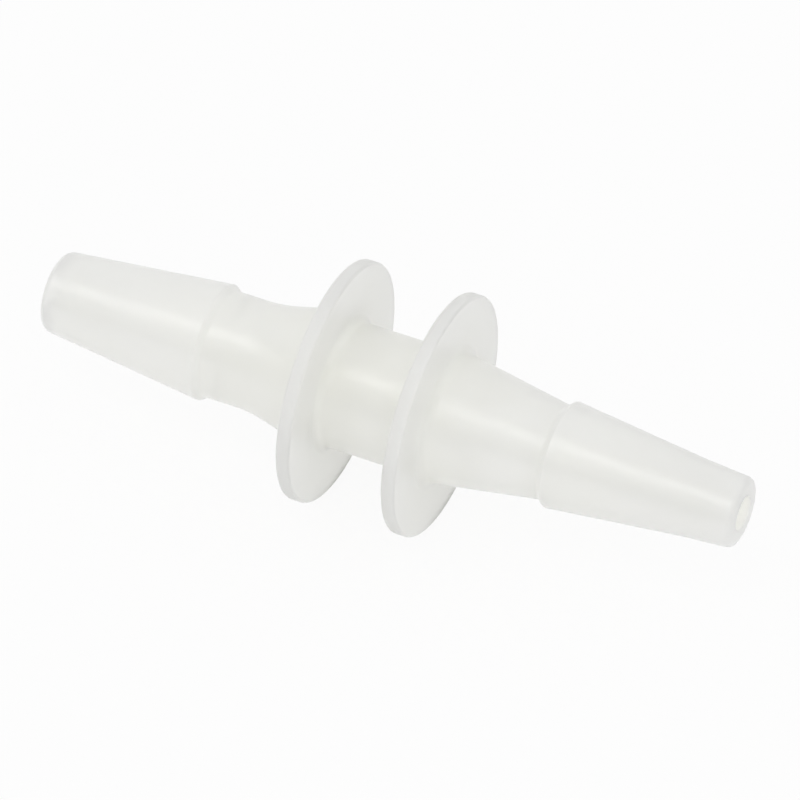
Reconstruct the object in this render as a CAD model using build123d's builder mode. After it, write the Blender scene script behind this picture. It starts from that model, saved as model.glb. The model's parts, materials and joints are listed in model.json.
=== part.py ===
from build123d import *
import os

# A straight tube connector, moulded in one piece of natural polypropylene. A short hub
# stands between two round flanges, which are the finger grip and the stops for the two
# tubes. From each flange a neck runs out to a single barb with a long tapered nose. The
# barb on the -X side is one size larger than the barb on the +X side. A plain bore runs
# from tip to tip.
#
# The bore lies along X, with the origin in the middle of the hub. The connector lies on
# its two flanges, so +Z points straight up from what it lies on. All sizes are in mm.

# Hub and flanges
hub_diameter = 8.55
hub_length = 6.5
flange_diameter = 16.5
flange_thickness = 1.0
flange_rim_crown = 0.1
flange_root_chamfer = 0.55

# Bore
bore_diameter = 2.3
bore_mouth_chamfer = 0.15

# Larger end: the neck flares towards its flange, the barb is one plain cone
large_root_diameter = 9.5
large_flare_length = 4.5
large_flare_blend_radius = 8.0
large_neck_diameter = 7.3
large_neck_length = 7.75
large_step_length = 0.42
large_crest_diameter = 7.98
large_cone_length = 11.75
large_tip_diameter = 5.46
large_tip_radius = 0.6

# Smaller end: the neck is one cone, the barb ends in a slimmer lead for the tube
small_root_diameter = 8.92
small_neck_diameter = 6.42
small_neck_length = 7.78
small_step_length = 0.42
small_crest_diameter = 7.25
small_cone_length = 9.45
small_nose_diameter = 5.22
small_lead_length = 3.33
small_tip_diameter = 4.74
small_tip_radius = 0.5

# A rounded or cut edge never takes more than this share of the wall it is on
edge_share = 0.45

# Stations along the axis, counted outwards from the middle of the hub
flange_inner_face = hub_length / 2
flange_outer_face = flange_inner_face + flange_thickness

large_flare_end = flange_outer_face + large_flare_length
large_foot = flange_outer_face + large_neck_length
large_crest = large_foot + large_step_length
large_tip = large_crest + large_cone_length

small_foot = flange_outer_face + small_neck_length
small_crest = small_foot + small_step_length
small_nose = small_crest + small_cone_length
small_tip = small_nose + small_lead_length

# The rim is highest in the middle of its width, and the flange's faces end below that
flange_face_radius = flange_diameter / 2 - flange_rim_crown

# Radii and cuts that the walls at the two tips have room for
large_tip_wall = (large_tip_diameter - bore_diameter) / 2
small_tip_wall = (small_tip_diameter - bore_diameter) / 2
large_tip_round = min(large_tip_radius, edge_share * large_tip_wall)
small_tip_round = min(small_tip_radius, edge_share * small_tip_wall)
mouth_cut = min(bore_mouth_chamfer, edge_share * min(large_tip_wall, small_tip_wall))

# Corners of the half section, as (station, radius), in order from tip to tip
large_mouth_corner = (-large_tip, bore_diameter / 2)
large_tip_corner = (-large_tip, large_tip_diameter / 2)
large_crest_corner = (-large_crest, large_crest_diameter / 2)
large_foot_corner = (-large_foot, large_neck_diameter / 2)
large_flare_corner = (-large_flare_end, large_neck_diameter / 2)
large_root_corner = (-flange_outer_face, large_root_diameter / 2)
large_rim_outside = (-flange_outer_face, flange_face_radius)
large_rim_inside = (-flange_inner_face, flange_face_radius)
hub_large_corner = (-flange_inner_face, hub_diameter / 2)
hub_small_corner = (flange_inner_face, hub_diameter / 2)
small_rim_inside = (flange_inner_face, flange_face_radius)
small_rim_outside = (flange_outer_face, flange_face_radius)
small_root_corner = (flange_outer_face, small_root_diameter / 2)
small_foot_corner = (small_foot, small_neck_diameter / 2)
small_crest_corner = (small_crest, small_crest_diameter / 2)
small_nose_corner = (small_nose, small_nose_diameter / 2)
small_tip_corner = (small_tip, small_tip_diameter / 2)
small_mouth_corner = (small_tip, bore_diameter / 2)

# Moulded body: the half section, turned about the bore's axis
with BuildPart() as connector_body:
    with BuildSketch(Plane.XZ) as half_section:
        with BuildLine():
            Polyline(
                large_mouth_corner,
                large_tip_corner,
                large_crest_corner,
                large_foot_corner,
                large_flare_corner,
                large_root_corner,
                large_rim_outside,
            )
            SagittaArc(large_rim_outside, large_rim_inside, flange_rim_crown)
            Polyline(large_rim_inside, hub_large_corner, hub_small_corner, small_rim_inside)
            SagittaArc(small_rim_inside, small_rim_outside, flange_rim_crown)
            Polyline(
                small_rim_outside,
                small_root_corner,
                small_foot_corner,
                small_crest_corner,
                small_nose_corner,
                small_tip_corner,
                small_mouth_corner,
            )
            Line(small_mouth_corner, large_mouth_corner)
        make_face()

        def corners_at(*places):
            """The corners of the section that lie at these places."""
            return [half_section.vertices().sort_by_distance(place)[0] for place in places]

        flange_roots = (large_root_corner, hub_large_corner, hub_small_corner, small_root_corner)
        chamfer(corners_at(*flange_roots), flange_root_chamfer)
        fillet(corners_at(large_flare_corner), large_flare_blend_radius)
        fillet(corners_at(large_tip_corner), large_tip_round)
        fillet(corners_at(small_tip_corner), small_tip_round)
        chamfer(corners_at(large_mouth_corner, small_mouth_corner), mouth_cut)
    revolve(axis=Axis.X)

connector_body.part.label = "connector_body"

os.makedirs("parts", exist_ok=True)
export_step(connector_body.part, "parts/connector_body.step")
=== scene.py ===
# %% [markdown]
# A moulded tube connector. The real thing is a single injection moulding of natural
# polypropylene: two flanges on a short hub, and a barb at each end that a soft tube is
# pushed over. It is milky, so light soaks into it and comes out again a little further on.
# This lesson turns the body as a potter would, from one half section, and then spends its
# care on the plastic. The CAD model is loaded first as a fixed frame, and its box gives the
# ends of the tips and the height of the floor.

# %% Load the CAD frame
import json
import math

import bpy
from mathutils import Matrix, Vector


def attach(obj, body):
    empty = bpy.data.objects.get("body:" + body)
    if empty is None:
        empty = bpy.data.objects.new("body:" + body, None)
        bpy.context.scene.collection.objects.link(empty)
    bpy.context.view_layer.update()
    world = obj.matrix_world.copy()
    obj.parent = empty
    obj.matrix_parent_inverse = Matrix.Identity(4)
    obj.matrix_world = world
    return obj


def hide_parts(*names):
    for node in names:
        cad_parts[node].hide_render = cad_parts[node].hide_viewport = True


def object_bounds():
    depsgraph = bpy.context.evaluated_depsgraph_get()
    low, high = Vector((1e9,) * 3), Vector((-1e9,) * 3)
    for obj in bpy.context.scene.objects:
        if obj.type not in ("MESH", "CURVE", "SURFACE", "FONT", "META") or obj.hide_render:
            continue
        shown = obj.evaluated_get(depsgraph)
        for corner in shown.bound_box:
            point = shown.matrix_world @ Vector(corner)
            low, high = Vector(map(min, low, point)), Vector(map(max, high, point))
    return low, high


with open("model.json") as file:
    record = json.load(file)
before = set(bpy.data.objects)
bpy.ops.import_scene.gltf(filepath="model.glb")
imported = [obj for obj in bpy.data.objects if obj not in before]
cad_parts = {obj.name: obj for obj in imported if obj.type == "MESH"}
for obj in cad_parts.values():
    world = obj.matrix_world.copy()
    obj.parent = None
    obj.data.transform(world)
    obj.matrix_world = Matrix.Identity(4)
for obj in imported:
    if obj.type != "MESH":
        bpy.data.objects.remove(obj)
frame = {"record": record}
cad_low, cad_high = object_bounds()
MM = 0.001


def side_lengths(low, high):
    """The three side lengths of a box, in millimetres."""
    return [round((top - bottom) / MM, 2) for bottom, top in zip(low, high)]


print("CAD box in mm:", side_lengths(cad_low, cad_high))

# %% [markdown]
# The camera comes before the shapes, because it decides what has to look right. The
# connector was photographed from above and in front, through a long lens, with its
# smaller barb nearer. A long lens is a narrow field seen from far off, so the two flanges
# look nearly the same size. The camera is placed by azimuth and elevation around the
# origin, and then slid by the few pixels that the object sits off the middle.

# %% Camera
PICTURE_SIDE = 800
MM_PER_PIXEL = 0.0653
LENS_MM, SENSOR_MM = 360.0, 36.0
AZIMUTH, ELEVATION = math.radians(24.8), math.radians(44.7)
ORIGIN_PIXEL = (387.7, 398.0)
CLIP_START = 0.05

towards_camera = Vector((
    math.sin(AZIMUTH) * math.cos(ELEVATION),
    -math.cos(AZIMUTH) * math.cos(ELEVATION),
    math.sin(ELEVATION),
))
distance = PICTURE_SIDE * LENS_MM / SENSOR_MM * MM_PER_PIXEL * MM
camera_data = bpy.data.cameras.new("studio_camera")
camera_data.lens = LENS_MM
camera_data.sensor_width = SENSOR_MM
camera_data.clip_start = CLIP_START
camera = bpy.data.objects.new("studio_camera", camera_data)
bpy.context.scene.collection.objects.link(camera)
camera.rotation_mode = "QUATERNION"
camera.rotation_quaternion = (-towards_camera).to_track_quat("-Z", "Y")
slide_right = (PICTURE_SIDE / 2 - ORIGIN_PIXEL[0]) * MM_PER_PIXEL * MM
slide_up = (ORIGIN_PIXEL[1] - PICTURE_SIDE / 2) * MM_PER_PIXEL * MM
slide = camera.rotation_quaternion @ Vector((slide_right, slide_up, 0))
camera.location = towards_camera * distance + slide
bpy.context.scene.camera = camera
print("camera at", [round(c, 4) for c in camera.location])

# %% [markdown]
# The body is round about its bore, so all of its shape is in one half section: the line
# that a knife would leave if it cut the connector lengthwise, on one side of the bore. It
# could be built up from cylinders and cones, but a turned section keeps every step, cone
# and rounding in one line. Stations run along the bore from the middle of the hub, and
# radii are measured from the bore's middle line. The larger barb is on the -X side.

# %% Stations and radii of the half section, in millimetres
HUB_RADIUS, HUB_HALF = 4.275, 3.25
FLANGE_RADIUS, FLANGE_THICKNESS = 8.25, 1.0
BORE_RADIUS = frame["record"]["mounts"][0]["dims"]["r_mm"]
STEP_LENGTH = 0.42

LARGE_FLARE_LENGTH, LARGE_NECK_LENGTH = 4.5, 7.75
LARGE_ROOT_RADIUS, LARGE_NECK_RADIUS = 4.75, 3.65
LARGE_CREST_RADIUS, LARGE_TIP_RADIUS = 3.99, 2.73

SMALL_NECK_LENGTH, SMALL_CONE_LENGTH = 7.78, 9.45
SMALL_ROOT_RADIUS, SMALL_NECK_RADIUS = 4.46, 3.21
SMALL_CREST_RADIUS, SMALL_NOSE_RADIUS, SMALL_TIP_RADIUS = 3.625, 2.61, 2.37

face = HUB_HALF + FLANGE_THICKNESS
large_flare = face + LARGE_FLARE_LENGTH
large_foot = face + LARGE_NECK_LENGTH
large_crest = large_foot + STEP_LENGTH
large_tip = -cad_low.x / MM
small_foot = face + SMALL_NECK_LENGTH
small_crest = small_foot + STEP_LENGTH
small_nose = small_crest + SMALL_CONE_LENGTH
small_tip = cad_high.x / MM

corners = {
    "large_mouth": (-large_tip, BORE_RADIUS),
    "large_tip": (-large_tip, LARGE_TIP_RADIUS),
    "large_crest": (-large_crest, LARGE_CREST_RADIUS),
    "large_foot": (-large_foot, LARGE_NECK_RADIUS),
    "large_flare": (-large_flare, LARGE_NECK_RADIUS),
    "large_root": (-face, LARGE_ROOT_RADIUS),
    "large_rim_outside": (-face, FLANGE_RADIUS),
    "large_rim_inside": (-HUB_HALF, FLANGE_RADIUS),
    "hub_large": (-HUB_HALF, HUB_RADIUS),
    "hub_small": (HUB_HALF, HUB_RADIUS),
    "small_rim_inside": (HUB_HALF, FLANGE_RADIUS),
    "small_rim_outside": (face, FLANGE_RADIUS),
    "small_root": (face, SMALL_ROOT_RADIUS),
    "small_foot": (small_foot, SMALL_NECK_RADIUS),
    "small_crest": (small_crest, SMALL_CREST_RADIUS),
    "small_nose": (small_nose, SMALL_NOSE_RADIUS),
    "small_tip": (small_tip, SMALL_TIP_RADIUS),
    "small_mouth": (small_tip, BORE_RADIUS),
}
print(len(corners), "corners in the half section")

# %% [markdown]
# By hand, one would add a plane, merge it to a single vertex and extrude that vertex from
# corner to corner. The same is done here. Filling then closes the line with a face, like
# the card template that a turner cuts first.

# %% Draw the section
bpy.ops.object.select_all(action="DESELECT")
bpy.ops.mesh.primitive_plane_add(size=MM)
connector = bpy.context.object
connector.name = "moulded_connector"
connector.data.name = "moulded_connector"
bpy.ops.object.mode_set(mode="EDIT")
bpy.ops.mesh.merge(type="CENTER")
last = (0.0, 0.0)
for index, (station, radius) in enumerate(corners.values()):
    step = Vector(((station - last[0]) * MM, 0, (radius - last[1]) * MM))
    if index == 0:
        bpy.ops.transform.translate(value=step)
    else:
        bpy.ops.mesh.extrude_region_move(TRANSFORM_OT_translate={"value": step})
    last = (station, radius)
bpy.ops.mesh.select_all(action="SELECT")
bpy.ops.mesh.edge_face_add()
bpy.ops.object.mode_set(mode="OBJECT")
print("section drawn with", len(connector.data.vertices), "vertices")

# %% [markdown]
# No corner of a moulding is quite sharp. The crests of the barbs come nearest to it, and
# the roots of the flanges and the tips are well rounded, so that the plastic flows past
# them. A bevel on a vertex cuts a corner back by its offset and puts an arc there, so each
# corner is found by its place and gets an offset of its own. The corner where the flare of
# the larger neck begins is so blunt that its arc is a long one.

# %% Round the corners
REACH_MM = 0.02
# How far back from the corner in mm, how many segments, and which corners
ROUNDINGS = [
    (0.2, 8, ["large_rim_outside", "large_rim_inside", "small_rim_inside", "small_rim_outside"]),
    (0.6, 10, ["hub_large", "hub_small"]),
    (0.6, 10, ["large_root", "small_root"]),
    (0.95, 10, ["large_flare"]),
    (0.5, 6, ["small_nose"]),
    (0.12, 4, ["large_foot", "small_foot"]),
    (0.06, 4, ["large_crest", "small_crest"]),
    (0.55, 10, ["large_tip"]),
    (0.45, 10, ["small_tip"]),
    (0.15, 5, ["large_mouth", "small_mouth"]),
]


def select_corners(obj, names):
    """In edit mode, select the vertices within REACH_MM of the corners with these names."""
    bpy.ops.mesh.select_all(action="DESELECT")
    bpy.ops.object.mode_set(mode="OBJECT")
    for vertex in obj.data.vertices:
        for name in names:
            station, radius = corners[name]
            gap = Vector((vertex.co.x - station * MM, vertex.co.z - radius * MM))
            if gap.length < REACH_MM * MM:
                vertex.select = True
    bpy.ops.object.mode_set(mode="EDIT")


bpy.ops.object.mode_set(mode="EDIT")
for offset_mm, segments, names in ROUNDINGS:
    select_corners(connector, names)
    bpy.ops.mesh.bevel(
        offset=offset_mm * MM,
        segments=segments,
        affect="VERTICES",
        offset_type="OFFSET",
    )
bpy.ops.object.mode_set(mode="OBJECT")
print("rounded section has", len(connector.data.vertices), "vertices")

# %% [markdown]
# Turning comes next. The face has done its work and is deleted, and the closed line that
# is left is spun once round the X axis. A Screw modifier would turn it as well, but the
# spin leaves a plain mesh that can be cleaned straight away. A full turn ends where it
# began, and the spin merges its last copy into its first. Merging by distance once more
# makes sure that no double is left. Spinning can leave a shape inside out, so the normals
# are recalculated. A weighted-normal modifier then lets the large faces lead the shading,
# so that the narrow roundings beside them leave no bands.

# %% Spin the section into the body
SPIN_STEPS = 192
WELD_MM = 0.0002
LARGE_FACES_LEAD = 100

bpy.ops.object.mode_set(mode="EDIT")
bpy.ops.mesh.select_all(action="SELECT")
bpy.ops.mesh.delete(type="ONLY_FACE")
bpy.ops.mesh.select_all(action="SELECT")
bpy.ops.mesh.spin(steps=SPIN_STEPS, angle=math.tau, center=(0, 0, 0), axis=(1, 0, 0))
bpy.ops.mesh.select_all(action="SELECT")
bpy.ops.mesh.remove_doubles(threshold=WELD_MM * MM)
bpy.ops.mesh.normals_make_consistent(inside=False)
bpy.ops.object.mode_set(mode="OBJECT")
bpy.ops.object.shade_smooth()
weighted = connector.modifiers.new("even_shading", "WEIGHTED_NORMAL")
weighted.weight = LARGE_FACES_LEAD
bpy.ops.object.modifier_apply(modifier=weighted.name)

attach(connector, "root")
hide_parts("connector_body")
print("body has", len(connector.data.vertices), "vertices")
print("body has", len(connector.data.polygons), "faces")

# %% [markdown]
# The plastic changes a little from place to place, so its material is a small network of
# nodes. Three kinds of node come up again and again, and each gets a helper: a noise
# pattern, a remap that moves a value from one range to another, and a step of arithmetic.
# The place that they are given will be Object coordinates, which are metres on the part
# itself, so that a pattern keeps its size and its place on the connector.

# %% Helpers for material nodes
def noise(tree, place, size_mm, detail):
    """A noise pattern whose features are about size_mm across."""
    node = tree.nodes.new("ShaderNodeTexNoise")
    node.inputs["Scale"].default_value = 1 / (size_mm * MM)
    node.inputs["Detail"].default_value = detail
    tree.links.new(place, node.inputs["Vector"])
    return node.outputs["Fac"]


def remap(tree, value, from_range, to_range):
    """The value moved from one range to another, and held at its ends."""
    node = tree.nodes.new("ShaderNodeMapRange")
    node.inputs["From Min"].default_value, node.inputs["From Max"].default_value = from_range
    node.inputs["To Min"].default_value, node.inputs["To Max"].default_value = to_range
    tree.links.new(value, node.inputs["Value"])
    return node.outputs["Result"]


def arithmetic(tree, operation, value, other=None):
    """One step of arithmetic on a socket; other is a second socket or a number."""
    node = tree.nodes.new("ShaderNodeMath")
    node.operation = operation
    tree.links.new(value, node.inputs[0])
    if isinstance(other, float):
        node.inputs[1].default_value = other
    elif other is not None:
        tree.links.new(other, node.inputs[1])
    return node.outputs["Value"]


# %% [markdown]
# Two distances tell the places on the connector apart: how far a point is from the middle
# line of the bore, and how far along it is from the middle of a flange. The rims of the
# flanges are then what lies far out and between the two faces of a flange. Painting a mask
# by hand would also do, but the distances follow the sizes above by themselves.

# %% Where on the connector a point lies
FLANGE_MIDDLE = HUB_HALF + FLANGE_THICKNESS / 2
# Distances in mm over which a flange's face turns into its rim, outwards and across
FACE_TO_RIM_OUTWARDS = (FLANGE_RADIUS - 0.2, FLANGE_RADIUS - 0.1)
RIM_TO_FACE_ACROSS = (0.36, 0.44)


def blend(tree, distance, range_mm, values):
    """One value that turns into another over a range of distances in millimetres."""
    return remap(tree, distance, [edge * MM for edge in range_mm], values)


def distance_from_bore(tree, place):
    """How far a point is from the middle line of the bore."""
    across = tree.nodes.new("ShaderNodeVectorMath")
    across.operation = "MULTIPLY"
    across.inputs[1].default_value = (0, 1, 1)
    tree.links.new(place, across.inputs[0])
    length = tree.nodes.new("ShaderNodeVectorMath")
    length.operation = "LENGTH"
    tree.links.new(across.outputs["Vector"], length.inputs[0])
    return length.outputs["Value"]


def flange_rims(tree, place, from_bore):
    """1 on the rims of the two flanges and 0 elsewhere."""
    along = tree.nodes.new("ShaderNodeSeparateXYZ")
    tree.links.new(place, along.inputs["Vector"])
    from_middle = arithmetic(tree, "ABSOLUTE", along.outputs["X"])
    off_flange = arithmetic(tree, "SUBTRACT", from_middle, FLANGE_MIDDLE * MM)
    off_flange = arithmetic(tree, "ABSOLUTE", off_flange)
    between_faces = blend(tree, off_flange, RIM_TO_FACE_ACROSS, (1, 0))
    far_out = blend(tree, from_bore, FACE_TO_RIM_OUTWARDS, (0, 1))
    return arithmetic(tree, "MULTIPLY", between_faces, far_out)


print("the rims lie", FLANGE_MIDDLE, "mm to either side of the middle")

# %% [markdown]
# Natural polypropylene is neither paint nor glass. Light goes in, wanders a few millimetres
# and leaves again, so thin walls and thick roots look nearly alike. Subsurface scattering
# does that wandering. Some light also passes straight through, and faintly shows the rims
# and the bore behind a wall. That takes a share of transmission, but light that is already
# inside would then be caught by the milk again at every wall and the part would turn grey.
# So the faces are wholly clear from the inside: Geometry's Backfacing tells the two apart.
# The share also depends on the place. The thin flanges are a little clearer than the body.
# The wall of the bore is clearest of all, because light has to cross the bore on its way
# through the part, and a milky wall there would darken the whole of it.

# %% How clear the plastic is
CLEAR_BODY, CLEAR_FLANGE, CLEAR_RIM, CLEAR_BORE = 0.15, 0.25, 0.18, 0.75
# Distances in mm from the bore's middle line over which one place turns into the next
BORE_TO_BODY = (BORE_RADIUS + 0.01, BORE_RADIUS + 0.05)
BODY_TO_FLANGE = (4.9, 5.5)


def clearness(tree, from_bore, rims):
    """The share of light that passes straight through; all of it from the inside."""
    bore_and_body = blend(tree, from_bore, BORE_TO_BODY, (CLEAR_BORE, CLEAR_BODY))
    flange_more = blend(tree, from_bore, BODY_TO_FLANGE, (0, CLEAR_FLANGE - CLEAR_BODY))
    rim_less = arithmetic(tree, "MULTIPLY", rims, CLEAR_FLANGE - CLEAR_RIM)
    clear = arithmetic(tree, "ADD", bore_and_body, flange_more)
    clear = arithmetic(tree, "SUBTRACT", clear, rim_less)
    side = tree.nodes.new("ShaderNodeNewGeometry")
    return arithmetic(tree, "MAXIMUM", clear, side.outputs["Backfacing"])


print("clear shares from the outside:", CLEAR_BODY, CLEAR_FLANGE, CLEAR_RIM, CLEAR_BORE)

# %% [markdown]
# The milk is not perfectly even: two whites that hardly differ drift into each other in
# clouds a few millimetres wide. On top lies the satin skin that the mould leaves, with a
# faint orange peel. Its roughness drifts a little too. The rims of the flanges are duller
# than the rest, so that no hard shine draws their edges.

# %% Natural polypropylene
REFRACTION = 1.49
WANDER_MM = 6.0
MILK_COLOURS = ((0.92, 0.92, 0.86, 1), (0.94, 0.94, 0.88, 1))
CLOUD_EDGES = (0.35, 0.65)
CLOUD_MM, CLOUD_DETAIL = 7.0, 2
SATIN_ROUGHNESS, RIM_ROUGHER = (0.26, 0.33), 0.3
SATIN_MM, SATIN_DETAIL = 3.0, 3
PEEL_MM, PEEL_DETAIL = 0.9, 2
PEEL_DEPTH_MM, PEEL_STRENGTH = 0.02, 0.15


def milk_colour(tree, place):
    """Two whites that drift into each other in clouds."""
    clouds = tree.nodes.new("ShaderNodeValToRGB")
    for element, edge, colour in zip(clouds.color_ramp.elements, CLOUD_EDGES, MILK_COLOURS):
        element.position = edge
        element.color = colour
    tree.links.new(noise(tree, place, CLOUD_MM, CLOUD_DETAIL), clouds.inputs["Fac"])
    return clouds.outputs["Color"]


def satin_roughness(tree, place, rims):
    """The roughness of the skin, higher on the rims of the flanges."""
    satin = remap(tree, noise(tree, place, SATIN_MM, SATIN_DETAIL), (0, 1), SATIN_ROUGHNESS)
    return arithmetic(tree, "ADD", satin, arithmetic(tree, "MULTIPLY", rims, RIM_ROUGHER))


def orange_peel(tree, place):
    """The faint dimples of the skin, as a bumped normal."""
    peel = tree.nodes.new("ShaderNodeBump")
    peel.inputs["Strength"].default_value = PEEL_STRENGTH
    peel.inputs["Distance"].default_value = PEEL_DEPTH_MM * MM
    tree.links.new(noise(tree, place, PEEL_MM, PEEL_DETAIL), peel.inputs["Height"])
    return peel.outputs["Normal"]


def natural_polypropylene():
    """Milky plastic with a satin skin, clearest at the bore and dullest on the flange rims."""
    material = bpy.data.materials.new("natural_polypropylene")
    material.use_nodes = True
    tree = material.node_tree
    shader = tree.nodes["Principled BSDF"]
    shader.inputs["IOR"].default_value = REFRACTION
    shader.inputs["Subsurface Weight"].default_value = 1.0
    shader.inputs["Subsurface Radius"].default_value = (1.0, 1.0, 1.0)
    shader.inputs["Subsurface Scale"].default_value = WANDER_MM * MM

    place = tree.nodes.new("ShaderNodeTexCoord").outputs["Object"]
    from_bore = distance_from_bore(tree, place)
    rims = flange_rims(tree, place, from_bore)
    tree.links.new(clearness(tree, from_bore, rims), shader.inputs["Transmission Weight"])
    tree.links.new(milk_colour(tree, place), shader.inputs["Base Color"])
    tree.links.new(satin_roughness(tree, place, rims), shader.inputs["Roughness"])
    tree.links.new(orange_peel(tree, place), shader.inputs["Normal"])
    return material


connector.data.materials.clear()
connector.data.materials.append(natural_polypropylene())
print("material:", connector.data.materials[0].name)

# %% [markdown]
# The connector lies on its two flange rims, so the floor touches them. The floor is pale
# paper that takes the connector's shadow. The camera should see it plain white, but more
# light would wash out a pale object, so the paper is lifted towards a white glow instead.
# Light Path tells which rays ask: the glow is there for the camera, for reflections and
# for see-through rays. For all other rays the floor is plain paper, so the soft light that
# it throws back at the connector doesn't change.

# %% Paper floor
FLOOR_SIDE = 4.0
PAPER_COLOUR = (0.97, 0.97, 0.97, 1)
LIFT_TO_WHITE = 0.9


def sees_white(tree):
    """A socket that is 1 for rays from the camera, a reflection or a see-through."""
    path = tree.nodes.new("ShaderNodeLightPath")
    seen = path.outputs["Is Camera Ray"]
    for ray in ("Is Glossy Ray", "Is Transmission Ray"):
        seen = arithmetic(tree, "MAXIMUM", seen, path.outputs[ray])
    return seen


def white_paper():
    """Matt paper, mixed with a white glow for the rays that see it white."""
    material = bpy.data.materials.new("white_paper")
    material.use_nodes = True
    tree = material.node_tree
    tree.nodes.clear()
    output = tree.nodes.new("ShaderNodeOutputMaterial")
    paper = tree.nodes.new("ShaderNodeBsdfDiffuse")
    paper.inputs["Color"].default_value = PAPER_COLOUR
    glow = tree.nodes.new("ShaderNodeEmission")
    mix = tree.nodes.new("ShaderNodeMixShader")
    share = arithmetic(tree, "MULTIPLY", sees_white(tree), LIFT_TO_WHITE)
    tree.links.new(share, mix.inputs["Fac"])
    tree.links.new(paper.outputs["BSDF"], mix.inputs[1])
    tree.links.new(glow.outputs["Emission"], mix.inputs[2])
    tree.links.new(mix.outputs["Shader"], output.inputs["Surface"])
    return material


bpy.ops.object.select_all(action="DESELECT")
bpy.ops.mesh.primitive_plane_add(size=FLOOR_SIDE, location=(0, 0, cad_low.z))
floor = bpy.context.object
floor.name = "floor"
floor.data.materials.append(white_paper())
print("floor at z =", round(cad_low.z / MM, 3), "mm")

# %% [markdown]
# A small pale object is lit softly from all round, or its lower half turns grey, and a
# tent in the next step does that. A softbox overhead and another low in front only shape
# the round surfaces a little. What the eye reads as satin plastic is the stripe that a long
# lamp leaves along each of them. A lamp bright enough for that stripe would light the top
# too strongly, so the strip lights are seen in reflections only. The front softbox is kept
# out of reflections, so that it leaves no second stripe.

# %% Softboxes and strip lights
OVERHEAD = Vector((-0.07, -0.4, 0.9))
IN_FRONT = Vector((0.6, -0.7, 0.15))
OVERHEAD_STRIP = Vector((-0.2, -0.4, 0.9))
OVERHEAD_LEFT = Vector((-0.5, -0.4, 0.8))
LAMP_DISTANCE = 0.6


def area_lamp(name, direction, length, width, watts, mirrored=True, lighting=True):
    """A rectangular lamp at LAMP_DISTANCE from the origin, turned to face it."""
    direction = direction.normalized()
    lamp_data = bpy.data.lights.new(name, "AREA")
    lamp_data.shape = "RECTANGLE"
    lamp_data.size, lamp_data.size_y = length, width
    lamp_data.energy = watts
    lamp = bpy.data.objects.new(name, lamp_data)
    bpy.context.scene.collection.objects.link(lamp)
    lamp.location = direction * LAMP_DISTANCE
    lamp.rotation_mode = "QUATERNION"
    lamp.rotation_quaternion = (-direction).to_track_quat("-Z", "Y")
    lamp.visible_glossy = mirrored
    lamp.visible_diffuse = lighting
    lamp.visible_transmission = lighting
    return lamp


lamps = [
    area_lamp("overhead_softbox", OVERHEAD, length=0.54, width=0.12, watts=0.27),
    area_lamp("front_softbox", IN_FRONT, length=0.6, width=0.25, watts=0.27, mirrored=False),
    area_lamp("strip_light", OVERHEAD_STRIP, length=0.5, width=0.2, watts=0.54, lighting=False),
    area_lamp("left_strip_light", OVERHEAD_LEFT, length=0.2, width=0.2, watts=0.28, lighting=False),
]
print("lamps:", [(lamp.name, round(lamp.data.energy, 2)) for lamp in lamps])

# %% [markdown]
# The tent of thin cloth around the table gives most of the light. Here it is the world
# itself, one even white all round. As a light it is a little weaker than white, so that the
# pale plastic keeps its shades, and the rays that see the floor white see the tent white.

# %% Light tent
TENT_STRENGTH, SEEN_STRENGTH = 0.785, 1.0
TENT_COLOUR = (1, 1, 1, 1)

world = bpy.data.worlds.new("light_tent")
bpy.context.scene.world = world
world.use_nodes = True
background = world.node_tree.nodes["Background"]
background.inputs["Color"].default_value = TENT_COLOUR
strength = remap(
    world.node_tree,
    sees_white(world.node_tree),
    (0, 1),
    (TENT_STRENGTH, SEEN_STRENGTH),
)
world.node_tree.links.new(strength, background.inputs["Strength"])
print("tent lights with", TENT_STRENGTH, "and is seen as", SEEN_STRENGTH)

# %% [markdown]
# Below each stripe the photographed plastic has a slightly greyer band. Photographers make
# such a band with a flag, a card beside the light. A low grey one in front of the table
# does it here. Like the strip lights, it is seen in reflections only. The Standard view is
# chosen last, because it shows the colours as they are written.

# %% Grey card
FLAG_WIDTH, FLAG_HEIGHT = 2.4, 0.7
FLAG_CENTRE = Vector((0.3, -1.2, 0.33))
CARD_GREY, CARD_ROUGHNESS = (0.2, 0.2, 0.2, 1), 1.0

bpy.ops.object.select_all(action="DESELECT")
bpy.ops.mesh.primitive_plane_add(size=1, rotation=(math.radians(90), 0, 0))
flag = bpy.context.object
flag.name = "grey_flag"
bpy.ops.object.mode_set(mode="EDIT")
bpy.ops.mesh.select_all(action="SELECT")
bpy.ops.transform.resize(value=(FLAG_WIDTH, FLAG_HEIGHT, FLAG_HEIGHT))
bpy.ops.object.mode_set(mode="OBJECT")
bpy.ops.object.transform_apply(location=True, rotation=True, scale=True)
flag.location = FLAG_CENTRE

grey_card = bpy.data.materials.new("grey_card")
grey_card.use_nodes = True
card_shader = grey_card.node_tree.nodes["Principled BSDF"]
card_shader.inputs["Base Color"].default_value = CARD_GREY
card_shader.inputs["Roughness"].default_value = CARD_ROUGHNESS
flag.data.materials.append(grey_card)
flag.visible_camera = False
flag.visible_diffuse = False
flag.visible_transmission = False
bpy.context.scene.view_settings.view_transform = "Standard"
print("grey card of", FLAG_WIDTH, "by", FLAG_HEIGHT, "m at", [round(c, 2) for c in flag.location])
